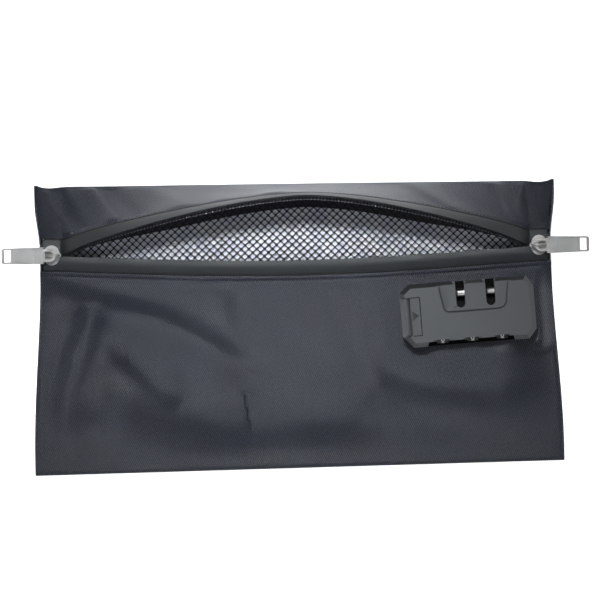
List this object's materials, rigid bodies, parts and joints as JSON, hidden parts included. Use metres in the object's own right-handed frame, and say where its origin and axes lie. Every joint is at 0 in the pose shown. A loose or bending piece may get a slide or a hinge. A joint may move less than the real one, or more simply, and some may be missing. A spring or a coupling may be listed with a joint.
{
  "type": "cash deposit bag",
  "caption": "Flat zipped pouch with an open mouth, net pocket and pale lining; two sliders whose pulls latch into a dial lock on its front.",
  "frame": {"origin": "middle of the back panel's outer face, which lies on the surface", "axes": "+X along the zipper, to the end with the lock; +Y up the bag, towards the top fold; +Z out of the front panel"},
  "size_m": [0.311, 0.153, 0.041],
  "materials": {
    "nylon": "twill nylon, satin",
    "lining": "thin coated lining",
    "net": "knitted net",
    "zip_tape": "coated woven tape",
    "zip_coil": "nylon coil",
    "nickel": "satin nickel plate",
    "lock_plastic": "fine textured moulding",
    "dial_plastic": "moulded, white numerals",
    "steel": "zinc plated",
    "peg_steel": "bright plated"
  },
  "bodies": {
    "bag": {"back_panel": "nylon", "front_panel": "nylon", "side_binding_left": "nylon", "side_binding_right": "nylon", "back_lining": "lining", "front_lining": "lining", "mesh_pocket": "net", "zip_tape_lower": "zip_tape", "zip_coil_lower": "zip_coil", "lock_case": "lock_plastic", "lock_base_plate": "lock_plastic", "backing_plate": "steel", "dial_shaft": "steel", "return_spring": "steel", "detent_spring": "steel", "case_screw_1": "steel", "case_screw_2": "steel", "case_screw_3": "steel", "case_screw_4": "steel"},
    "flap": {"top_strip": "nylon", "zip_tape_upper": "zip_tape", "zip_coil_upper": "zip_coil"},
    "slider_left": {"slider_left": "nickel"},
    "slider_right": {"slider_right": "nickel"},
    "pull_left": {"pull_left": "nickel"},
    "pull_right": {"pull_right": "nickel"},
    "latch": {"slide_button": "lock_plastic", "hook_plate": "peg_steel"},
    "dial_1": {"dial_wheel_1": "dial_plastic", "dial_sleeve_1": "steel"},
    "dial_2": {"dial_wheel_2": "dial_plastic", "dial_sleeve_2": "steel"},
    "dial_3": {"dial_wheel_3": "dial_plastic", "dial_sleeve_3": "steel"}
  },
  "joints": [
    {"name": "left_slider", "type": "slide", "parent": "bag", "child": "slider_left", "axis": [0.9999, -0.0118, 0], "range_m": [0, 0.21543], "deforming": ["zip_tape_lower", "zip_coil_lower"]},
    {"name": "right_slider", "type": "slide", "parent": "bag", "child": "slider_right", "axis": [-0.9985, -0.0545, 0], "range_m": [0, 0.02916]},
    {"name": "flap_close", "type": "hinge", "parent": "bag", "child": "flap", "pos_m": [0, 0.0753, 0.0013], "axis": [1, -0.0085, 0], "range_deg": [0, 69.65], "deforming": ["top_strip", "zip_tape_upper", "zip_coil_upper"]},
    {"name": "left_pull", "type": "hinge", "parent": "slider_left", "child": "pull_left", "pos_m": [-0.1302, 0.04012, 0.01445], "axis": [0.4624, 0.6613, 0.5906], "range_deg": [0, 124.56]},
    {"name": "right_pull", "type": "hinge", "parent": "slider_right", "child": "pull_right", "pos_m": [0.1302, 0.04012, 0.01445], "axis": [0.5111, -0.6445, -0.5687], "range_deg": [0, 120.56]},
    {"name": "release_button", "type": "slide", "parent": "bag", "child": "latch", "axis": [0.9982, 0.0602, 0], "range_m": [0, 0.0032], "stiffness_N_per_m": 400, "springref_m": -0.002, "deforming": ["return_spring"]},
    {"name": "dial_1_turn", "type": "hinge", "parent": "bag", "child": "dial_1", "pos_m": [0.07673, -0.00606, 0.0159], "axis": [0.9982, 0.0602, 0], "continuous": true},
    {"name": "dial_2_turn", "type": "hinge", "parent": "bag", "child": "dial_2", "pos_m": [0.09245, -0.00511, 0.0159], "axis": [0.9982, 0.0602, 0], "continuous": true},
    {"name": "dial_3_turn", "type": "hinge", "parent": "bag", "child": "dial_3", "pos_m": [0.10817, -0.00416, 0.0159], "axis": [0.9982, 0.0602, 0], "continuous": true}
  ],
  "couplings": [
    {"joint": "right_slider", "follows": "left_slider", "ratio": 0.13534},
    {"joint": "flap_close", "follows": "left_slider", "rad_per_m": 5.6387}
  ]
}
